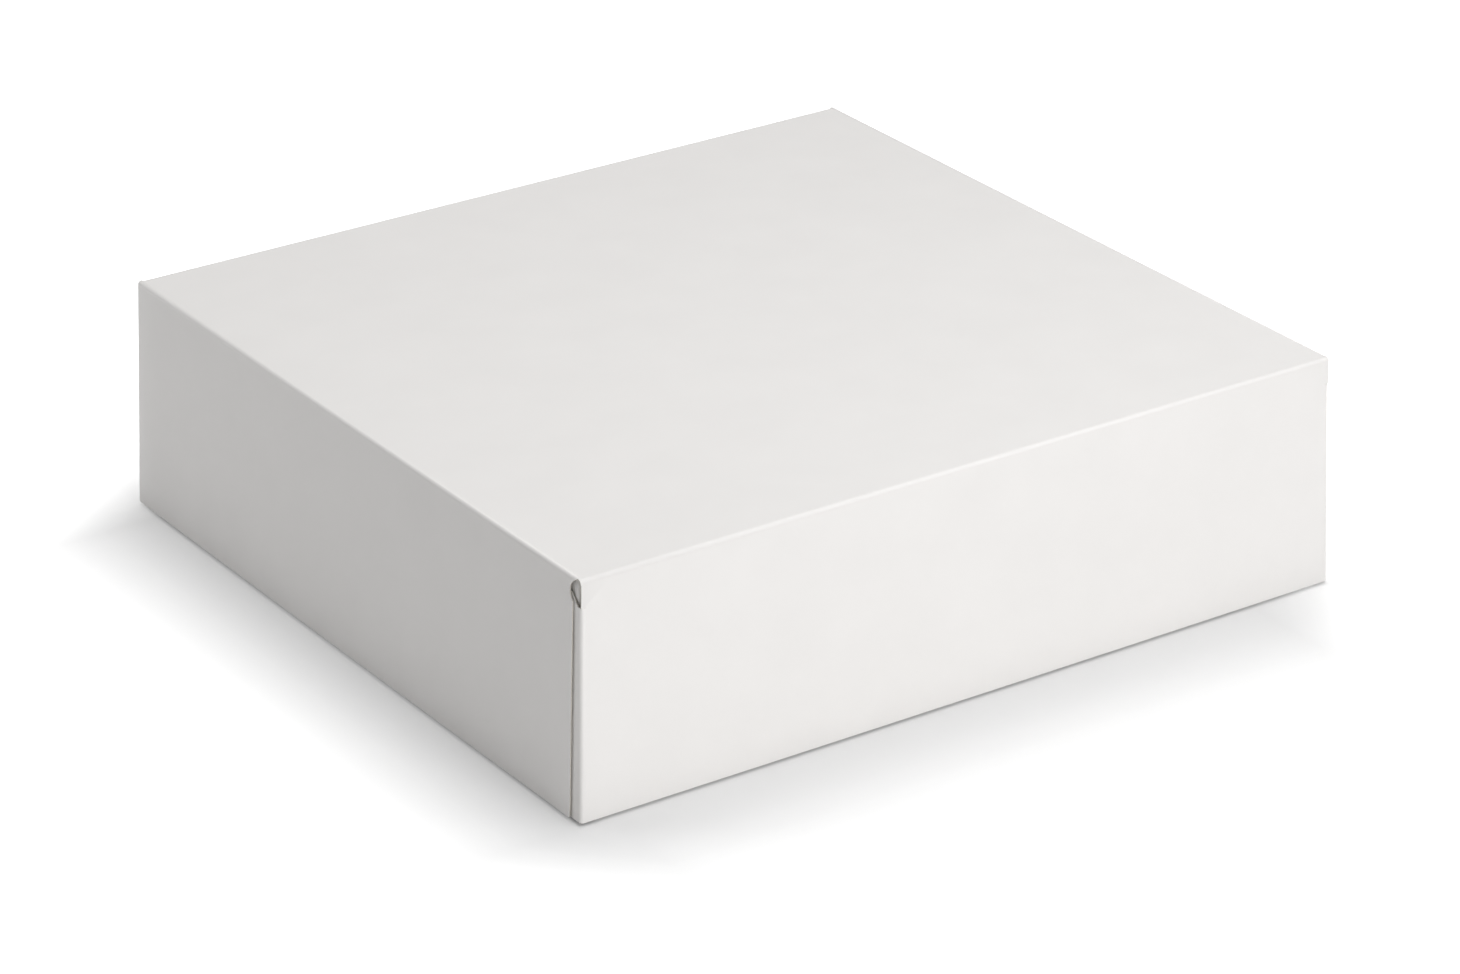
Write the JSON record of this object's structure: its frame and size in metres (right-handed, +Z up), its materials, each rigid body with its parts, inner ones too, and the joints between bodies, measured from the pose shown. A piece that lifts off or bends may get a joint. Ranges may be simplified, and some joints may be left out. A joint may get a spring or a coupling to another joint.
{
  "type": "cake box",
  "caption": "Flat square folding-board cake box, closed: glued tray, full-depth lid hinged at the back, hanging side flaps, and a front flap with tabs that tuck in behind them.",
  "frame": {"origin": "on the table, under the middle of the closed box", "axes": "+X along the front flap to the right, +Y from the front flap to the lid's hinge at the back, +Z up"},
  "size_m": [0.2896, 0.282, 0.0815],
  "materials": {
    "white_board": "satin coated outside, uncoated inside",
    "creased_board": "satin coating stretched over a pressed crease"
  },
  "bodies": {
    "tray": {"base_floor": "white_board", "base_front_wall": "white_board", "base_back_wall": "white_board", "base_left_wall": "white_board", "base_right_wall": "white_board", "glue_tab_front_left": "white_board", "glue_tab_front_right": "white_board", "glue_tab_back_left": "white_board", "glue_tab_back_right": "white_board", "floor_fold_front": "creased_board", "floor_fold_back": "creased_board", "floor_fold_left": "creased_board", "floor_fold_right": "creased_board", "corner_fold_front_left": "creased_board", "corner_fold_front_right": "creased_board", "corner_fold_back_left": "creased_board", "corner_fold_back_right": "creased_board", "lid_hinge_crease": "creased_board"},
    "lid": {"lid_panel": "white_board", "left_flap_crease": "creased_board", "right_flap_crease": "creased_board", "front_flap_crease": "creased_board"},
    "left_flap": {"lid_left_flap": "white_board"},
    "right_flap": {"lid_right_flap": "white_board"},
    "front_flap": {"lid_front_flap": "white_board", "tuck_fold_left": "creased_board", "tuck_tab_left": "white_board", "tuck_fold_right": "creased_board", "tuck_tab_right": "white_board"}
  },
  "joints": [
    {"name": "lid_hinge", "type": "hinge", "parent": "tray", "child": "lid", "pos_m": [0, 0.14078, 0.08128], "axis": [-1, 0, 0], "range_deg": [0, 190], "deforming": ["lid_hinge_crease"]},
    {"name": "front_flap_hinge", "type": "hinge", "parent": "lid", "child": "front_flap", "pos_m": [0, -0.14078, 0.08128], "axis": [-1, 0, 0], "range_deg": [0, 90], "deforming": ["front_flap_crease"]},
    {"name": "left_flap_hinge", "type": "hinge", "parent": "lid", "child": "left_flap", "pos_m": [-0.14178, 0, 0.08128], "axis": [0, 1, 0], "range_deg": [0, 88], "deforming": ["left_flap_crease"]},
    {"name": "right_flap_hinge", "type": "hinge", "parent": "lid", "child": "right_flap", "pos_m": [0.14178, 0, 0.08128], "axis": [0, -1, 0], "range_deg": [0, 88], "deforming": ["right_flap_crease"]}
  ]
}
